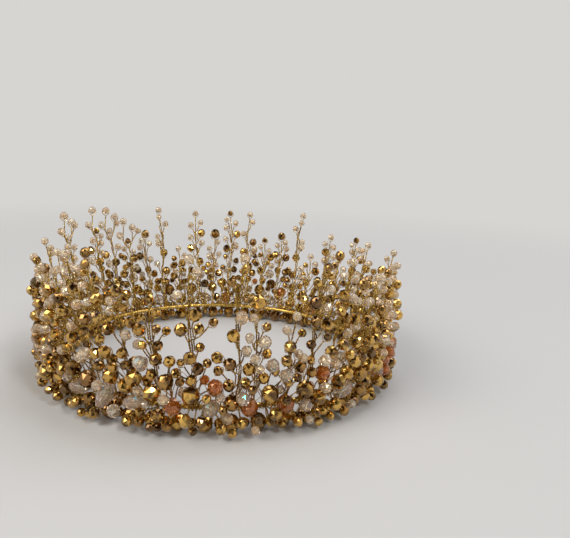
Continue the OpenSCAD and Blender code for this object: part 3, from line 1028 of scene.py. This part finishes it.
# Champagne glass: clear pressed glass with a pale peach lustre, bright on a few facets and
# see-through between them.
champagne_glass, tree = new_material("champagne_lustre_glass")
bead_tone = add(tree, "ShaderNodeNewGeometry").outputs["Random Per Island"]
ramp = add(tree, "ShaderNodeValToRGB", {"Fac": bead_tone})
ramp.color_ramp.elements[0].color = linear("#FFF1DE")
ramp.color_ramp.elements[1].color = linear("#FAE2C4")
glass = add(
    tree,
    "ShaderNodeBsdfPrincipled",
    {
        "Base Color": ramp.outputs["Color"],
        "Metallic": 0.08,
        "Roughness": 0.04,
        "IOR": 1.54,
        "Transmission Weight": 0.8,
        "Thin Film Thickness": 420.0,
        "Thin Film IOR": 1.38,
    },
)
add(tree, "ShaderNodeOutputMaterial", {"Surface": glass.outputs[0]})

# Clear glass: cut and polished lead crystal, see-through and sparkling, with a faint smoky
# tint that varies from stone to stone.
clear_cloud = 5.56
clear_glass, tree = new_material("smoky_clear_crystal")
place = add(tree, "ShaderNodeTexCoord")
cloud = add(
    tree,
    "ShaderNodeTexNoise",
    {"Vector": place.outputs["Object"], "Scale": 1 / (clear_cloud * MM), "Detail": 2.0},
)
tint = add(tree, "ShaderNodeMix", {0: cloud.outputs["Fac"]}, data_type="RGBA")
tint.inputs[6].default_value = linear("#FCF1E2")
tint.inputs[7].default_value = linear("#ECD8C0")
glass = add(
    tree,
    "ShaderNodeBsdfPrincipled",
    {
        "Base Color": tint.outputs[2],
        "Roughness": 0.03,
        "IOR": 1.56,
        "Transmission Weight": 0.84,
        "Thin Film Thickness": 380.0,
        "Thin Film IOR": 1.36,
    },
)
add(tree, "ShaderNodeOutputMaterial", {"Surface": glass.outputs[0]})

# Copper glass: pressed brown-red glass with a fired copper lustre, warm and half
# see-through, with paler and redder clouds in it.
copper_cloud = 3.33
copper_glass, tree = new_material("copper_lustre_glass")
place = add(tree, "ShaderNodeTexCoord")
cloud = add(
    tree,
    "ShaderNodeTexNoise",
    {"Vector": place.outputs["Object"], "Scale": 1 / (copper_cloud * MM), "Detail": 2.0},
)
tint = add(tree, "ShaderNodeMix", {0: cloud.outputs["Fac"]}, data_type="RGBA")
tint.inputs[6].default_value = linear("#F2A24C")
tint.inputs[7].default_value = linear("#C67026")
glass = add(
    tree,
    "ShaderNodeBsdfPrincipled",
    {
        "Base Color": tint.outputs[2],
        "Metallic": 0.15,
        "Roughness": 0.08,
        "IOR": 1.54,
        "Transmission Weight": 0.85,
        "Coat Weight": 0.6,
        "Coat Roughness": 0.03,
    },
)
add(tree, "ShaderNodeOutputMaterial", {"Surface": glass.outputs[0]})

# A cut bead stands on each point, turned and sized by the point's own values
bead_tree, into, out_of, bead_ids = geometry_tree(
    "strung_beads", {"Cut": "NodeSocketObject", "Glass": "NodeSocketMaterial"}
)
turn_field = add(
    bead_tree, "GeometryNodeInputNamedAttribute", {"Name": "turn"}, data_type="FLOAT_VECTOR"
).outputs["Attribute"]
size_field = add(
    bead_tree, "GeometryNodeInputNamedAttribute", {"Name": "size"}, data_type="FLOAT_VECTOR"
).outputs["Attribute"]
turned = add(bead_tree, "FunctionNodeEulerToRotation", {0: turn_field})
cut = add(bead_tree, "GeometryNodeObjectInfo", {"Object": into.outputs["Cut"]})
strung = add(
    bead_tree,
    "GeometryNodeInstanceOnPoints",
    {
        "Points": into.outputs["Geometry"],
        "Instance": cut.outputs["Geometry"],
        "Rotation": turned.outputs[0],
        "Scale": size_field,
    },
)
loose = add(bead_tree, "GeometryNodeRealizeInstances", {0: strung.outputs[0]})
glazed = add(
    bead_tree,
    "GeometryNodeSetMaterial",
    {"Geometry": loose.outputs[0], "Material": into.outputs["Glass"]},
)
bead_tree.links.new(glazed.outputs[0], out_of.inputs[0])


def bead_piece(name, rows, cut_object, glass, replaced=None, roll=(0.0, 0.7)):
    """Beads of one glass as one piece. Each row: centre, way along the hole, width, length.
    The roll about the hole starts at one angle and grows by another from bead to bead."""
    mesh = bpy.data.meshes.new(name)
    mesh.from_pydata([tuple(centre * MM) for centre, _, _, _ in rows], [], [])
    turns, sizes = [], []
    for k, (_, hole, width, length) in enumerate(rows):
        rolled = Matrix.Rotation(roll[0] + roll[1] * k, 3, "Z").to_quaternion()
        way = Vector(hole).to_track_quat("Z", "X") @ rolled
        turns += list(way.to_euler())
        sizes += [width * MM, width * MM, length * MM]
    mesh.attributes.new("turn", "FLOAT_VECTOR", "POINT").data.foreach_set("vector", turns)
    mesh.attributes.new("size", "FLOAT_VECTOR", "POINT").data.foreach_set("vector", sizes)
    made = link_object(name, mesh)
    grown(made, bead_tree, {bead_ids["Cut"]: cut_object, bead_ids["Glass"]: glass})
    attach(made, "root")
    if replaced:
        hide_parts(replaced)


# The hole as a share of the width: a large bead has a finer one for its size
small_cut = cut_bead("small_cut", 0.2, gold_glass)
large_cut = cut_bead("large_cut", 0.12, gold_glass)
# Columns: piece, group of beads, cut, glass, slot, the CAD node it replaces
STRUNG = [
    ("front_gold_beads", "gold_front", small_cut, gold_glass, "gold_glass", "gold_beads_front"),
    ("back_gold_beads", "gold_back", small_cut, gold_glass, "gold_glass", "gold_beads_back"),
    ("pale_beads", "pale", small_cut, champagne_glass, "champagne_glass", "champagne_beads"),
    ("collar_row", "collar", large_cut, gold_glass, "gold_glass", "collar_beads"),
    ("small_gold_beads", "small_gold", small_cut, gold_glass, "gold_glass", None),
    ("small_pale_beads", "small_champagne", small_cut, champagne_glass, "champagne_glass", None),
    ("small_clear_beads", "small_clear", small_cut, clear_glass, "clear_glass", None),
    ("small_copper_beads", "small_copper", small_cut, copper_glass, "copper_glass", None),
]
for name, group, cut_object, glass, slot, replaced in STRUNG:
    rows = [(b.centre, b.hole, b.width, b.length) for b in beads if b.group == group]
    bead_piece(name, rows, cut_object, glass, replaced)


# ---- Rim beads: gold-coated beads on the rim wire, with a smaller one in each gap between.
# Each large one stands on a flat between two corners of its widest row.
flat_down = (math.pi / 8, math.pi / 4)
rim_rows = [(centre, way, rim_width, rim_width * hole_share) for centre, way in rim]
bead_piece("rim_row", rim_rows, large_cut, gold_glass, "rim_beads", flat_down)
between_w, between_l = 4.4, 3.4
between = []
for k in range(rim_count):
    between.append((*rim_place(rim_pitch * (k + 0.5) + first_rim), between_w, between_l))
bead_piece("small_rim_beads", between, small_cut, gold_glass)


# ---- Base stones: larger drilled stones of clear, copper and gold glass, cut all over, round
# and oval. Each hangs on a wire loop between the collar and the rim. Their solids stay.
STONE_GLASS = {
    "clear": clear_glass, "clear oval": clear_glass, "copper": copper_glass, "gold": gold_glass,
}
for i, kind in enumerate(STONES):
    dress(f"stone_{i + 1:02d}", STONE_GLASS[kind])

for pattern in (small_cut, large_cut):
    bpy.data.objects.remove(pattern)

low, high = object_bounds()
